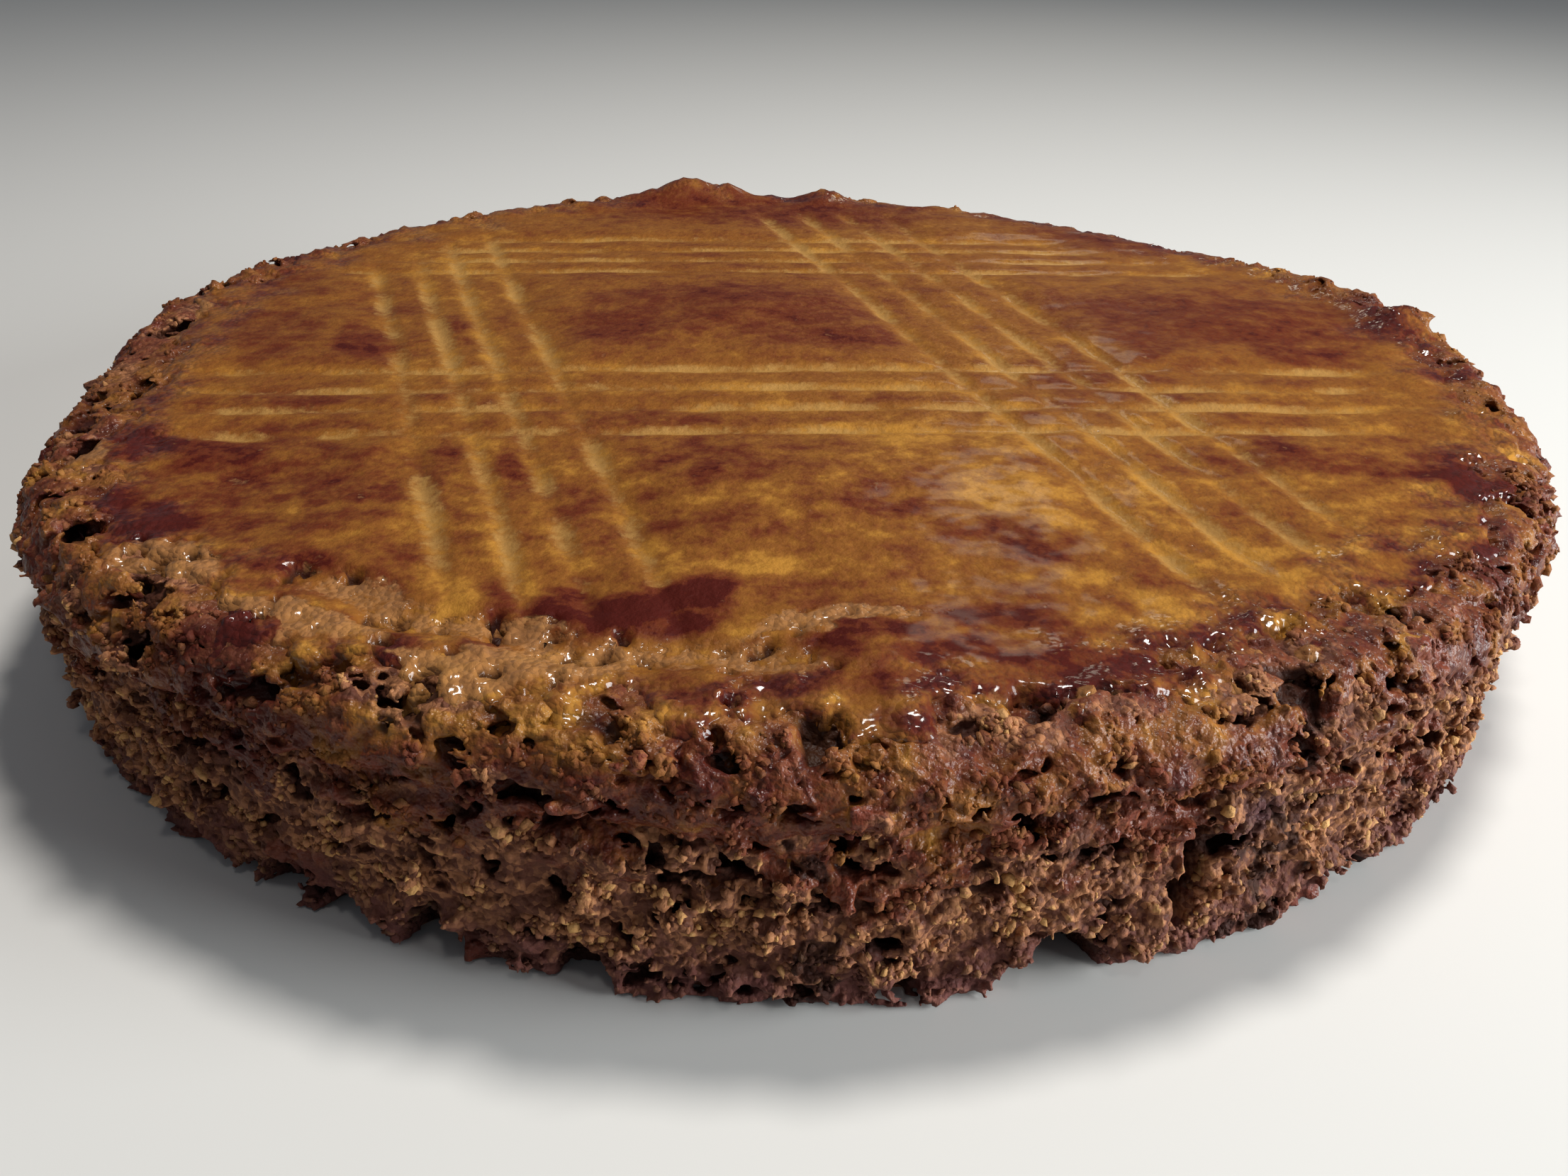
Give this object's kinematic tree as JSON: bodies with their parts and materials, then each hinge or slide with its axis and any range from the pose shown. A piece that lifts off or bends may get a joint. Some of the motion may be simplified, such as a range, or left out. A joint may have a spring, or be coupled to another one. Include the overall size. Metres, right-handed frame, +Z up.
{
  "type": "breton butter cake",
  "caption": "Round, flat butter cake with a fork-combed, egg-glazed top and a crumbly side, standing on its flat base.",
  "frame": {"origin": "middle of the flat base, on the surface the cake stands on", "axes": "+Z up through the top; -Y is the side that faces the viewer, whose front rim has the pits; +X to the viewer's right"},
  "size_m": [0.2025, 0.2036, 0.035],
  "materials": {
    "baked_dough": "baked butter dough: egg-glazed, browned and half glossy on top, dry and crumbly on the side"
  },
  "bodies": {
    "root": {"cake": "baked_dough"}
  },
  "joints": []
}
